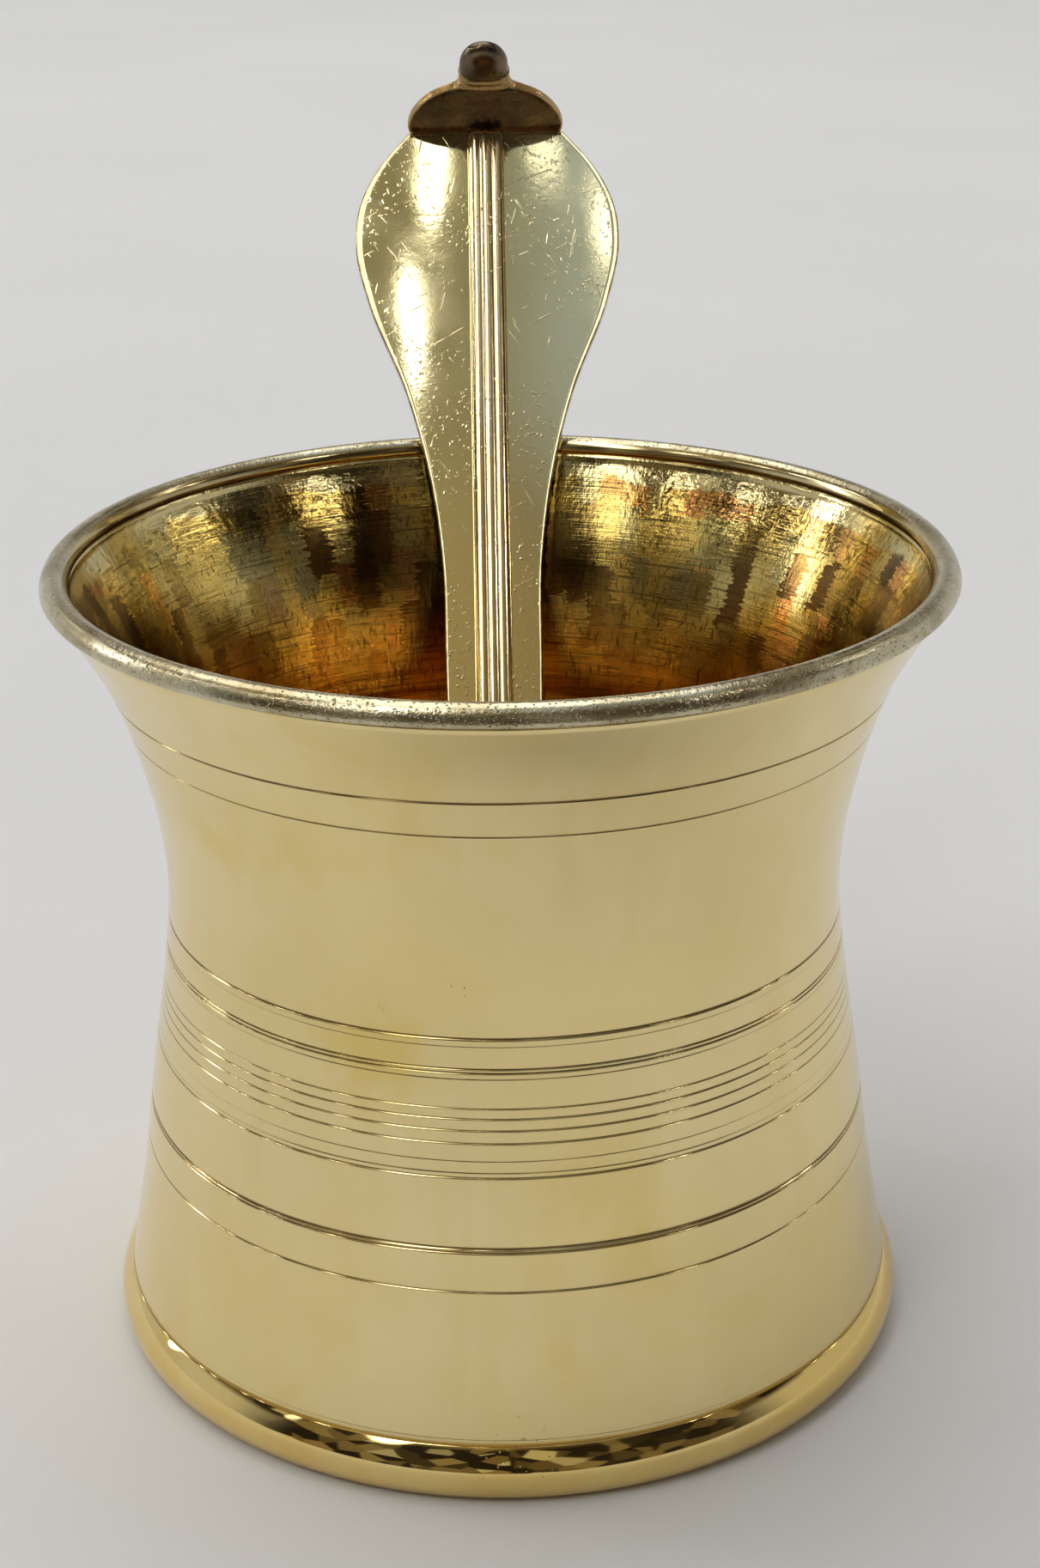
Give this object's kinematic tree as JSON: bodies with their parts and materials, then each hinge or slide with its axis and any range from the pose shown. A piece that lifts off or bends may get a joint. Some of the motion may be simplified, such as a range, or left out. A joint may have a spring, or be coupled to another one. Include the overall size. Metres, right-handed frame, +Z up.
{
  "type": "brass cup with standing spoon",
  "caption": "Waisted, lathe-turned brass cup with a beaded rim and foot, holding a loose brass spoon whose handle spreads into a flat hood with a small snouted head.",
  "frame": {"origin": "centre of the cup's flat underside", "axes": "+Z up along the cup's axis, -Y out of the front face of the spoon's hood, +Y towards the side of the rim that the spoon leans on"},
  "size_m": [0.08, 0.0964, 0.1119],
  "materials": {
    "turned_brass": "polished, lathe-turned, with fine lines and a few pits",
    "satin_brass": "satin, worn and slightly pitted",
    "dull_brass": "tarnished",
    "cast_brass": "polished, scratched",
    "dark_brass": "dark with age, glossy where it is touched"
  },
  "bodies": {
    "cup": {"cup_wall": "turned_brass", "rim_bead": "satin_brass", "foot_bead": "turned_brass", "base_plate": "dull_brass"},
    "spoon": {"spoon_blade": "cast_brass", "spoon_rib": "cast_brass", "spoon_head": "dark_brass", "spoon_snout": "dark_brass", "spoon_bowl": "cast_brass"}
  },
  "joints": [
    {"name": "spoon_lift", "type": "slide", "parent": "cup", "child": "spoon", "axis": [0, 0, 1], "range_m": [0, 0.085]}
  ]
}
